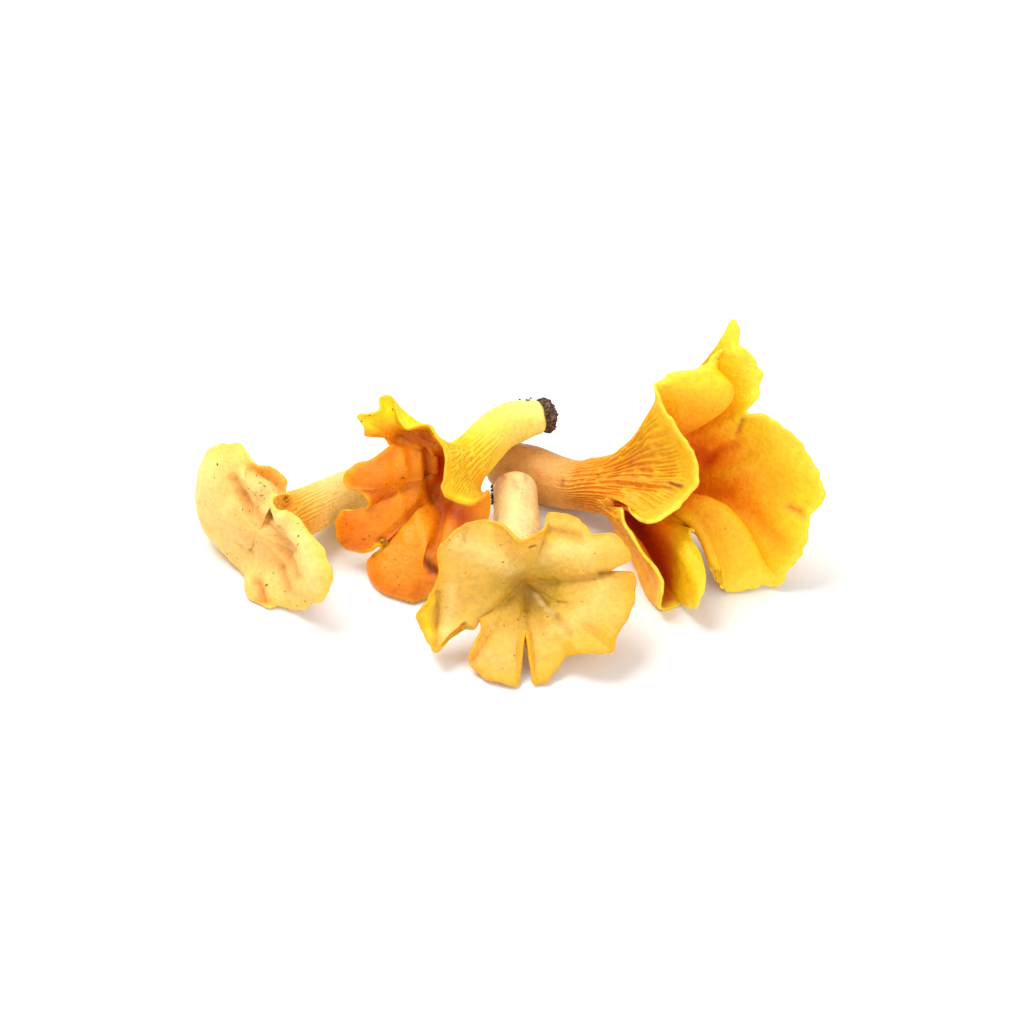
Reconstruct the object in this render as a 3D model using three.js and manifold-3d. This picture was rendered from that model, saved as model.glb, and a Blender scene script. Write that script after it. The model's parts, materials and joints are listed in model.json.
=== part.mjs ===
// A small heap of chanterelle mushrooms lying on a table, in millimetres, +Z up.
// Each mushroom grew as one piece: a solid stem that widens into a lobed funnel cap with ridged underside.
import * as THREE from "three";
import Module from "manifold-3d";

const wasm = await Module();
wasm.setup();

// Every point below is given as the heap looks from its front, seen from VIEW_TILT above the table:
// across is to the right, up is up the view, and height is above the table.
const VIEW_TILT = THREE.MathUtils.degToRad(40);

const HEAP_SHIFT = [1.9, 6.7, 0]; // puts the middle of the heap's box over the origin

const FLESH = 1.5; // thickness of the cap
const EDGE_ROUND = 0.5; // how far the rounded edge stands out past the last row
const COLUMNS_A_RIB = 2;
const STEM_ROWS = 5;
const BASE_ROWS = 2;
const CAP_ROWS = [0.14, 0.32, 0.52, 0.72, 0.88, 1];
const ROOT_DEPTH = 3; // how deep the cap's pieces are sunk into the stem
const SHORTEST_EDGE = 0.12;
const SOIL_RADIUS = 5.2;
const SOIL_DEPTH = 3;
const SOIL_OFFSET = 3.2; // the lump's middle stands this far below the stem's end
const SOIL_GAP = 0.4;
const BASE_BULGE = 0.55; // how far the stem's end bulges, as a share of its radius
const RIDGE_HEIGHT = 0.9; // gill ridges stand this far out of the underside
const GILL_START = 0.7; // share of the stem's length where the ridges begin
const EVENNESS = 0.3; // how evenly the ribs leave the neck, rather than straight at their margin points
const SPREAD_PASSES = 8; // how far their bearings are evened out
const MARGIN_REACH = 0.35; // how far back from the margin a rib's last control point stands
const RIB_PULL = 0.42; // tightness of the curve from rib to rib

const UP = new THREE.Vector3(0, 0, 1);

// fillRows is how many of the cap's rows have the throat filled, and lift how far its crown stands above them.
// dome and flareReach shape all ribs, and ruffleDepth is how many times the margin's ruffles are evened out.
// A stem's points are across, up, height and radius, from its base to its neck. A rib's are across, up and
// height of the margin, and how much the rib bulges along the neck and up. The ribs go anticlockwise as seen
// looking into the cap.
const MUSHROOMS = [
  {
    name: "large_chanterelle",
    colour: 0xf7a51c,
    fillRows: 1,
    lift: -5,
    flareReach: 0.3,
    ruffleDepth: 1,
    stem: [
      [-3, 29.5, 8.5, 7.5], [5.4, 26.5, 8, 8.2], [14.4, 23.3, 7.8, 8], [21.3, 22.1, 10, 7.4],
      [26.5, 22.3, 13, 8],
    ],
    ribs: [
      // the near wall and the tongue that hangs from it
      [42, 51.3, 62, 0.15], [42.9, 47.1, 60], [45, 42.9, 57], [48.9, 38.1, 53], [52.5, 32.4, 48],
      [54, 26.7, 43], [53.4, 21.9, 39], [50.4, 18.6, 35], [47.4, 15.3, 32], [43.2, 11.1, 29],
      [39.3, 9.9, 27], [35.4, 12.9, 27], [34.5, 16, 25], [33.9, 15.6, 22],
      // the lower left fold and the round lobe beside it
      [34.5, 10, 21], [37.5, 4.2, 19], [42, -0.9, 16], [45.3, -7.2, 12], [43.8, -14.4, 4, -0.05, -0.2],
      [47.4, -14.4, 0.5, -0.1, -0.4], [51.3, -12.9, 2, -0.05, -0.35], [54.3, -14.1, 7, 0.2, 0.1],
      [55.8, -11.4, 11, 0.15, 0.15], [56.2, -5.1, 15, 0.1, 0.15], [54.6, 2.1, 18, 0.05, 0.1],
      [53.4, 8.1, 19],
      // the lobe that arches over in front
      [58.8, 4.2, 13, 0, 0.2], [62, -0.9, 9, 0, 0.45], [61.8, -7.8, 4, 0, 0.65], [63.6, -9.6, 0.5, 0, 0.8],
      [69.6, -9.9, 0.5, 0, 0.85], [76.2, -8.7, 0.5, 0, 0.75],
      // the wide far wall
      [81, -6, 4], [84.3, -0.6, 10], [87.9, 5.4, 17], [88.2, 12.3, 23], [92.4, 20.1, 31], [87.9, 30.3, 39],
      [84.9, 35.4, 43], [79.5, 40.5, 48], [74.4, 43.2, 50], [69.6, 43.5, 50],
      // the tall twisted lobe
      [72.3, 47.1, 54], [73.8, 53.1, 59], [71.4, 59.4, 64], [67.8, 62.7, 66], [67.5, 67.5, 70],
      [65.1, 70.8, 72], [63.6, 68.7, 70], [62.1, 63.3, 65], [58.8, 58.5, 60, 0.4],
      // the smooth lobe behind the near wall
      [54.9, 55.5, 59, 0.95], [48.9, 54.9, 60, 0.9], [44.4, 53.1, 62, 0.6],
    ],
  },
  {
    name: "ruffled_chanterelle",
    colour: 0xf08a12,
    fillRows: 1,
    lift: -4,
    flareReach: 0.25,
    ruffleDepth: 5,
    stem: [
      [7.5, 43.2, 24, 5.3], [1, 41.7, 24, 6.6], [-4.5, 38.7, 24.5, 6.7], [-9, 34, 25, 6.5],
      [-13.5, 29.5, 25, 6.8],
    ],
    ribs: [
      // the frilled top and the forked horn
      [-22.5, 36, 41], [-26.1, 37.5, 42], [-30.9, 38.4, 42], [-33.6, 43.5, 44], [-35.1, 48, 46],
      [-37.5, 48.9, 46], [-39.9, 47.7, 45], [-39.9, 44.4, 44], [-45.3, 44.1, 43], [-46.2, 41.7, 41],
      [-45, 39.3, 40], [-39.9, 37.5, 37], [-35.4, 34.8, 34],
      // the lobes down the left
      [-38.4, 32.1, 32, 0.1], [-42.6, 29.1, 30, 0.2], [-46.2, 27.9, 29, 0.3], [-48.6, 26.1, 27, 0.3],
      [-49.2, 22.8, 24, 0.2], [-47.7, 19.8, 22, 0.1], [-43.8, 17.1, 21], [-48.9, 15, 17, 0.2],
      [-51.6, 11.1, 13, 0.35], [-51.6, 6.6, 9.5, 0.35], [-49.5, 3.3, 7, 0.3], [-45, 2.1, 7, 0.2],
      [-41.4, 2.7, 9, 0.1], [-38.7, 4.2, 11],
      // the bottom lobe
      [-43.2, -0.3, 5, 0.2], [-43.5, -3.9, 2.5, 0.3], [-41.7, -7.2, 1, 0.35], [-38.1, -10.2, 0.5, 0.35],
      [-33.9, -11.7, 0.5, 0.35], [-30, -12.9, 0.5, 0.3], [-26.4, -11.7, 1, 0.3], [-22.8, -8.1, 5, 0.3],
      [-20.4, -3.9, 9, 0.3], [-19.2, 1.2, 12, 0.2],
      // the fold under the near wall
      [-18, 5.7, 14], [-12.6, 7.2, 14], [-8.4, 10.2, 15], [-7.2, 16.2, 18], [-8.1, 20.7, 22],
      // the near wall
      [-9.6, 17.7, 25], [-12, 15.6, 26], [-15, 16.2, 27], [-17.4, 17.4, 28], [-19.8, 18.9, 30],
      [-21, 21.6, 32], [-20.4, 24.6, 34], [-19.8, 29.1, 37], [-20.4, 33, 39],
    ],
  },
  {
    name: "front_chanterelle",
    colour: 0xe6b04a,
    fillRows: 2,
    lift: -2,
    flareReach: 0.2,
    ruffleDepth: 3,
    stem: [[0.9, 20.3, 12, 6.9], [1.5, 10, 10, 7], [2.5, 1, 11, 6.8], [4, -6, 15, 7]],
    ribs: [
      // the upper left lobe
      [-2.1, 9.6, 35], [-7.5, 11.4, 34], [-12.3, 10.8, 35], [-18, 7.8, 34], [-21.3, 3.3, 30],
      [-21.6, -3.9, 24],
      // the lobe that stands back at the left, and the folded tip
      [-24, -10.5, 17], [-27.9, -15.6, 11], [-25.2, -21.3, 6], [-22.2, -26.7, 6.5], [-19.8, -25.5, 8],
      [-16.2, -20.1, 10], [-11.9, -12.6, 11],
      // the bottom lobes with the slit between
      [-9.6, -19.5, 10], [-12, -26.7, 6.5], [-12.6, -30, 3], [-8.7, -33.6, 1], [-3.9, -36, 0.5],
      [2.4, -36.3, 0.5], [3.9, -21.3, 11], [5.7, -35.4, 1], [9.9, -35.4, 1], [12.3, -33, 2.5],
      [15.9, -27.9, 6],
      // the right lobes with the notch between
      [21, -26.7, 10], [28.8, -27, 9], [30.3, -22.8, 12], [33, -17.7, 15], [35.7, -10.5, 19],
      [35.4, -3.9, 23], [27.3, -3, 23], [33.9, -0.3, 27], [33.6, 3.9, 30], [29.1, 7.8, 31], [23.4, 7.5, 30],
      // the small lobe behind the top
      [19.8, 11.4, 30], [14.4, 13.2, 31], [9.9, 12.9, 31], [8.7, 8.7, 31], [3, 5.7, 33],
    ],
  },
  {
    name: "left_chanterelle",
    colour: 0xf6cf6a,
    fillRows: 3,
    lift: 2,
    dome: 0.3,
    flareReach: 0.3,
    ruffleDepth: 3,
    stem: [
      [-31, 25, 6.3, 6.5], [-42, 22.5, 6.9, 7], [-53, 18.5, 9.5, 7.2], [-62, 14.5, 13, 7],
      [-68, 11.5, 15, 7],
    ],
    ribs: [
      // the far side, then round by the left
      [-81.6, 33.9, 34.4, 0.15], [-85.8, 33.9, 31.2, 0.25], [-90.3, 32.4, 26.5, 0.35],
      [-92.7, 28.8, 21.3, 0.4], [-94.5, 22.2, 13.7, 0.4], [-93.9, 15.6, 8, 0.4], [-91.8, 10.5, 4.8, 0.4],
      [-88.2, 5.7, 3, 0.35], [-84, 0.3, 1.1, 0.25],
      // the bottom, where the rim rests on the table
      [-80.7, -2.7, 0.8], [-78.6, -5.4, 0.5], [-78, -9.3, 0.5], [-75.6, -12.9, 0.5], [-72.6, -14.1, 0.5],
      [-69.6, -13.5, 0.5], [-65.1, -14.4, 1.5], [-61.8, -14.1, 4.3], [-59.7, -12.3, 7.6],
      // the near edge up the right
      [-55.5, -10.8, 12.2], [-53.1, -5.7, 18.8], [-54.3, -0.6, 22.6], [-56.1, 3.9, 25.5],
      [-59.7, 7.2, 25.9], [-62.7, 11.4, 27.6], [-66.3, 14.4, 27.7], [-69, 18, 29],
      // the lobe behind
      [-67.5, 20.7, 24], [-68.7, 24.3, 26], [-72.3, 27.3, 30], [-76.2, 27.9, 33], [-78.9, 31.5, 34.5],
    ],
  },
];

// A point of the part's own frame from the way it looks from the front.
function at([across, up, height]) {
  const depth = (up - height * Math.cos(VIEW_TILT)) / Math.sin(VIEW_TILT);
  return new THREE.Vector3(across, depth, height);
}

// A smooth closed curve through values, each an array of numbers, at a share of the way round.
function closedCurve(values, share, pull = RIB_PULL) {
  const n = values.length;
  const x = (((share % 1) + 1) % 1) * n;
  const i = Math.floor(x) % n;
  const f = x - Math.floor(x);
  const [a, b, c, d] = [-1, 0, 1, 2].map((k) => values[(i + k + n) % n]);
  const f2 = f * f;
  const f3 = f2 * f;
  return b.map((v, k) => {
    const leave = pull * (c[k] - a[k]);
    const arrive = pull * (d[k] - v);
    const start = (2 * f3 - 3 * f2 + 1) * v + (f3 - 2 * f2 + f) * leave;
    return start + (3 * f2 - 2 * f3) * c[k] + (f3 - f2) * arrive;
  });
}

// Margin points with their ruffles evened out, so that the ruffles fade towards the stem.
function calmed(tips, times) {
  const n = tips.length;
  let now = tips;
  for (let k = 0; k < times; k++) {
    now = now.map((p, i) => {
      const around = now[(i + 1) % n].clone().add(now[(i + n - 1) % n]);
      return p.clone().multiplyScalar(2).add(around).divideScalar(4);
    });
  }
  return now;
}

// The stem's middle line, with a pair of side directions at each place that turn as little as they can.
function stemFrames(stem, rows) {
  const curve = new THREE.CatmullRomCurve3(stem.map(at));
  const radii = stem.map((s) => s[3]);
  const frames = [];
  const first = curve.getTangent(0);
  let side = new THREE.Vector3(0, 0, 1).cross(first).normalize();
  for (let i = 0; i <= rows; i++) {
    const share = i / rows;
    const along = curve.getTangent(share).normalize();
    side = side.clone().addScaledVector(along, -side.dot(along)).normalize();
    const x = share * (radii.length - 1);
    const k = Math.min(Math.floor(x), radii.length - 2);
    const f = x - k;
    const ease = f * f * (3 - 2 * f);
    frames.push({
      centre: curve.getPoint(share),
      along,
      side,
      other: along.clone().cross(side),
      radius: radii[k] + (radii[k + 1] - radii[k]) * ease,
    });
  }
  return frames;
}

// A closed body from rings of equally many points between a first and a last pole.
function skin(firstPole, rings, lastPole) {
  const n = rings[0].length;
  const points = [firstPole, ...rings.flat(), lastPole];
  const index = [];
  for (let k = 0; k < n; k++) {
    const next = (k + 1) % n;
    index.push(0, 1 + next, 1 + k);
    for (let r = 0; r + 1 < rings.length; r++) {
      const a = 1 + r * n;
      const b = a + n;
      index.push(a + k, a + next, b + next, a + k, b + next, b + k);
    }
    const top = 1 + (rings.length - 1) * n;
    index.push(top + k, top + next, points.length - 1);
  }
  const mesh = new wasm.Mesh({
    numProp: 3,
    vertProperties: new Float32Array(points.flatMap(onTable)),
    triVerts: new Uint32Array(index),
  });
  return new wasm.Manifold(mesh);
}

// The coordinates of a point, kept from sinking into the table.
function onTable(p) {
  return [p.x, p.y, Math.max(p.z, 0)];
}

// One mushroom as a closed body.
function mushroomBody({ fillRows, lift, dome = 0, flareReach, ruffleDepth, stem, ribs }) {
  const columns = COLUMNS_A_RIB * ribs.length;
  const frames = stemFrames(stem, STEM_ROWS);
  const neck = frames[STEM_ROWS];
  const tips = ribs.map(at);
  const calm = calmed(tips, ruffleDepth);

  // The direction in which each rib leaves the neck.
  let last = 0;
  const bearings = calm.map((tip) => {
    const out = tip.clone().sub(neck.centre);
    let turn = Math.atan2(out.dot(neck.other), out.dot(neck.side));
    turn += 2 * Math.PI * Math.round((last - turn) / (2 * Math.PI));
    last = turn;
    return turn;
  });
  const even = (i) => (2 * Math.PI * i) / ribs.length;
  const middle = bearings.reduce((sum, b, i) => sum + b - even(i), 0) / ribs.length;
  let shifts = bearings.map((b, i) => THREE.MathUtils.lerp(b - even(i), middle, EVENNESS));
  for (let k = 0; k < SPREAD_PASSES; k++) {
    shifts = shifts.map((s, i) => (s + shifts.at(i - 1) + shifts[(i + 1) % shifts.length]) / 3);
  }

  // Each rib as the four control points of a curve, less its turn, so that all of it is periodic.
  const ringPoint = (frame, turn, radius = frame.radius) =>
    frame.centre.clone()
      .addScaledVector(frame.side, radius * Math.cos(turn))
      .addScaledVector(frame.other, radius * Math.sin(turn));
  const controls = tips.map((tip, i) => {
    const root = ringPoint(neck, even(i) + shifts[i]);
    const length = root.distanceTo(calm[i]);
    const [, , , curl = 0, arch = 0] = ribs[i];
    const flare = root.clone().addScaledVector(neck.along, flareReach * length);
    const late = calm[i].clone().lerp(flare, MARGIN_REACH)
      .addScaledVector(neck.along, (dome + curl) * length)
      .addScaledVector(UP, arch * length);
    return [...flare.toArray(), ...late.toArray(), ...tip.toArray(), shifts[i]];
  });
  const turnAt = (share) => closedCurve(controls, share)[9] + 2 * Math.PI * share;

  // The underside before its ridges, at a share round the cap and of the way from the neck to the margin.
  function under(round, out) {
    const c = closedCurve(controls, round);
    const root = ringPoint(neck, c[9] + 2 * Math.PI * round);
    const s = 1 - out;
    const p = root.multiplyScalar(s * s * s);
    p.addScaledVector(new THREE.Vector3(c[0], c[1], c[2]), 3 * s * s * out);
    p.addScaledVector(new THREE.Vector3(c[3], c[4], c[5]), 3 * s * out * out);
    p.addScaledVector(new THREE.Vector3(c[6], c[7], c[8]), out * out * out);
    return p;
  }
  const step = 1e-3;
  function outward(round, out) {
    const lo = Math.max(out - step, 0);
    const hi = Math.min(out + step, 1);
    const du = under(round + step, out).sub(under(round - step, out));
    const dt = under(round, hi).sub(under(round, lo));
    return du.cross(dt).normalize();
  }

  const inside = (round, out, depth) => under(round, out).addScaledVector(outward(round, out), -depth);
  const ring = (count, place) => Array.from({ length: count }, (_, k) => place(k / count, k % 2));

  const base = frames[0];
  const stemRings = [];
  for (let i = 1; i <= BASE_ROWS; i++) {
    const slope = (Math.PI / 2) * (i / (BASE_ROWS + 1));
    stemRings.push(ring(columns, (round) => ringPoint(base, turnAt(round), base.radius * Math.sin(slope))
      .addScaledVector(base.along, -BASE_BULGE * base.radius * Math.cos(slope))));
  }
  for (let i = 0; i <= STEM_ROWS; i++) {
    const rise = Math.max(0, (i / STEM_ROWS - GILL_START) / (1 - GILL_START));
    const radius = (odd) => frames[i].radius + odd * RIDGE_HEIGHT * rise;
    stemRings.push(ring(columns, (round, odd) => ringPoint(frames[i], turnAt(round), radius(odd))));
  }
  const onAxis = (frame, offset) => frame.centre.clone().addScaledVector(frame.along, offset);
  const pieces = [skin(onAxis(base, -BASE_BULGE * base.radius), stemRings, onAxis(neck, ROOT_DEPTH / 3))];

  // The cap is joined from small blocks, and the flesh that fills the throat from wedges about its middle.
  const column = Array.from({ length: columns }, (_, k) => {
    const round = k / columns;
    const odd = k % 2;
    const lower = [ringPoint(neck, turnAt(round), neck.radius + odd * RIDGE_HEIGHT)];
    const upper = [
      ringPoint(neck, turnAt(round), neck.radius - FLESH).addScaledVector(neck.along, -ROOT_DEPTH / 2),
    ];
    for (const out of CAP_ROWS) {
      lower.push(inside(round, out, -odd * RIDGE_HEIGHT * Math.min(1, (1 - out) * 4)));
      upper.push(inside(round, out, FLESH));
    }
    const onward = under(round, 1).sub(under(round, 0.97)).setLength(EDGE_ROUND);
    const edge = inside(round, 1, FLESH / 2).add(onward);
    const core = [
      ringPoint(neck, turnAt(round), neck.radius - FLESH / 2).addScaledVector(neck.along, -ROOT_DEPTH / 3),
      ...CAP_ROWS.slice(0, fillRows).map((out) => inside(round, out, FLESH / 2)),
    ];
    return { lower, upper, edge, core };
  });
  const middles = column[0].core.map((_, r) => {
    const sum = column.reduce((total, { core }) => total.add(core[r]), new THREE.Vector3());
    return sum.divideScalar(columns);
  });
  const crown = middles[fillRows].clone().addScaledVector(neck.along, lift);
  middles[0] = onAxis(neck, -ROOT_DEPTH);
  const block = (...corners) => wasm.Manifold.hull(corners.map(onTable));
  for (let k = 0; k < columns; k++) {
    const a = column[k];
    const b = column[(k + 1) % columns];
    for (let r = 0; r < CAP_ROWS.length; r++) {
      const s = r + 1;
      const below = [a.lower[r], b.lower[r], a.lower[s], b.lower[s]];
      pieces.push(block(...below, a.upper[r], b.upper[r], a.upper[s], b.upper[s]));
    }
    const m = CAP_ROWS.length;
    pieces.push(block(a.lower[m], b.lower[m], a.upper[m], b.upper[m], a.edge, b.edge));
    for (let r = 0; r < fillRows; r++) {
      const top = r + 1 < fillRows ? middles[r + 1] : crown;
      pieces.push(block(middles[r], top, a.core[r], a.core[r + 1], b.core[r], b.core[r + 1]));
    }
  }

  const joined = wasm.Manifold.union(pieces).asOriginal().simplify(SHORTEST_EDGE);
  return outerSkin(joined);
}

// The body bounded by the outermost skin alone, so that no bubble is left inside.
function outerSkin(body) {
  return body.decompose().reduce((a, b) => (b.volume() > a.volume() ? b : a));
}

// The lump of soil that clings round a stem's end, a small gap off it.
function soilLump(stem) {
  const [end] = stemFrames(stem, STEM_ROWS);
  const seat = new THREE.Matrix4().makeBasis(end.side, end.other, end.along).setPosition(end.centre);
  const lump = wasm.Manifold.sphere(1, 20).warp((p) => {
    const coarse = 0.09 * Math.sin(5 * p[0] + 1) * Math.cos(6 * p[1]);
    const rough = 1 + coarse + 0.07 * Math.sin(9 * p[1] + 7 * p[2]);
    p[0] *= rough * SOIL_RADIUS;
    p[1] *= rough * SOIL_RADIUS;
    p[2] = p[2] * rough * SOIL_DEPTH - SOIL_OFFSET;
  });
  const hollow = wasm.Manifold.sphere(1, 48).scale([
    end.radius + SOIL_GAP,
    end.radius + SOIL_GAP,
    BASE_BULGE * end.radius + SOIL_GAP,
  ]);
  const sleeve = wasm.Manifold.cylinder(10, end.radius + SOIL_GAP, end.radius + 2 * SOIL_GAP, 48);
  return lump.subtract(hollow).subtract(sleeve).transform(seat.elements);
}

// A mesh of the scene from a finished body.
function meshOf(body, name, colour) {
  const data = body.getMesh();
  const geometry = new THREE.BufferGeometry();
  geometry.setAttribute("position", new THREE.BufferAttribute(new Float32Array(data.vertProperties), 3));
  geometry.setIndex(new THREE.BufferAttribute(new Uint32Array(data.triVerts), 1));
  geometry.computeVertexNormals();
  const material = new THREE.MeshStandardMaterial({ color: colour, roughness: 0.6, metalness: 0 });
  const mesh = new THREE.Mesh(geometry, material);
  mesh.name = name;
  return mesh;
}

const heap = new THREE.Group();
heap.position.set(...HEAP_SHIFT);
for (const mushroom of MUSHROOMS) heap.add(meshOf(mushroomBody(mushroom), mushroom.name, mushroom.colour));
heap.add(meshOf(soilLump(MUSHROOMS[1].stem), "soil_clump", 0x4a3524));

export default heap;
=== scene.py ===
# The looks of a small heap of chanterelle mushrooms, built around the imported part, in metres, +Z up.
import json
import math
import bpy
import numpy as np
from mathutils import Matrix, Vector

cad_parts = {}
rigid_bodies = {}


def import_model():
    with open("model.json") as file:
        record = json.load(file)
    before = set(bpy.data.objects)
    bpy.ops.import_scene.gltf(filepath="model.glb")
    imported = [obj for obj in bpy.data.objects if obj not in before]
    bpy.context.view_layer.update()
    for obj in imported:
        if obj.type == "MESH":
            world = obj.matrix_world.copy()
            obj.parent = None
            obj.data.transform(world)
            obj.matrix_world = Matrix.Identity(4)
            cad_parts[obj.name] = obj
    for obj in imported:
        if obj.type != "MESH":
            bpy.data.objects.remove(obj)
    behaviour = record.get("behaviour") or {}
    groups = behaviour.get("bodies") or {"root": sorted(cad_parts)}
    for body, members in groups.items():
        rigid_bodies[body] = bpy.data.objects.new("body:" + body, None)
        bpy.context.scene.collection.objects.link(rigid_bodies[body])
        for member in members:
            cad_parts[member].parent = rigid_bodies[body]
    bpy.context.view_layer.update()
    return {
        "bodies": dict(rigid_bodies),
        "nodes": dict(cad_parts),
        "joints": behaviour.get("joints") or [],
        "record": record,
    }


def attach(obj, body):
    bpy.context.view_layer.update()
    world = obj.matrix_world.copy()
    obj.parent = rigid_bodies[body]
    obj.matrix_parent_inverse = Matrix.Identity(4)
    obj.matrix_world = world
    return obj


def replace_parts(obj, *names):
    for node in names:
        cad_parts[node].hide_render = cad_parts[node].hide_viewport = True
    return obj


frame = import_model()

MM = 0.001
VIEW_TILT = math.radians(40)
HEAP_SHIFT = np.array([1.9, 6.7, 0]) * MM

COLUMNS = 720
BASE_RINGS = 6
STEM_RINGS = 20
CAP_RINGS = 60
RIM_RINGS = 4
UPPER_RINGS = 38
THROAT_RINGS = 7

EVENNESS = 0.3  # how evenly the ribs leave the neck, rather than straight at their margin points
SPREAD_PASSES = 8
MARGIN_REACH = 0.35
RIB_PULL = 0.42
THICK_AT_NECK = 1.7 * MM
THICK_AT_RIM = 1.1 * MM
GILL_START = 0.55  # share of the stem's length where the gill ridges begin
GILL_END = 0.93  # share of the way to the margin where they have faded
VEIN_CELLS = 96  # cells of the cross veins' noise round the cap, a multiple of the noise's size
VEIN_ROWS = 10
VEIN_SHARE = 0.7  # height of the cross veins as a share of a gill's
STEP = 1e-3  # step of the finite differences
RIM_FRILL = 0.02
FRILL_CELL = 2.5 * MM
LUMP_CELL = 11 * MM
SCULPT_START = 0.1  # share of the way to the margin where creases and lumps begin
SCULPT_FULL = 0.35  # share where they reach their full height
GILL_FADE = 0.78  # share of the way to the margin where the gill ridges start to fade
SPECK_EDGE = 0.03

LUMP_GRAINS = 520
STEM_GRAINS = 45
THREAD_GRAINS = 60

FLOOR_HALF = 3.0
LIGHT_TARGET = (0, 0, 0.02)
KEY_LIGHT = {"place": (-0.35, 0.25, 0.9), "size": 0.7, "power": 9}
FILL_LIGHT = {"place": (0.5, -0.8, 0.6), "size": 0.8, "power": 4}
SKY_STRENGTH = 0.7
LENS = 140
SENSOR = 36
CAMERA_DISTANCE = 1.195
VIEW_HEIGHT = 18.4 * MM

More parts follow.
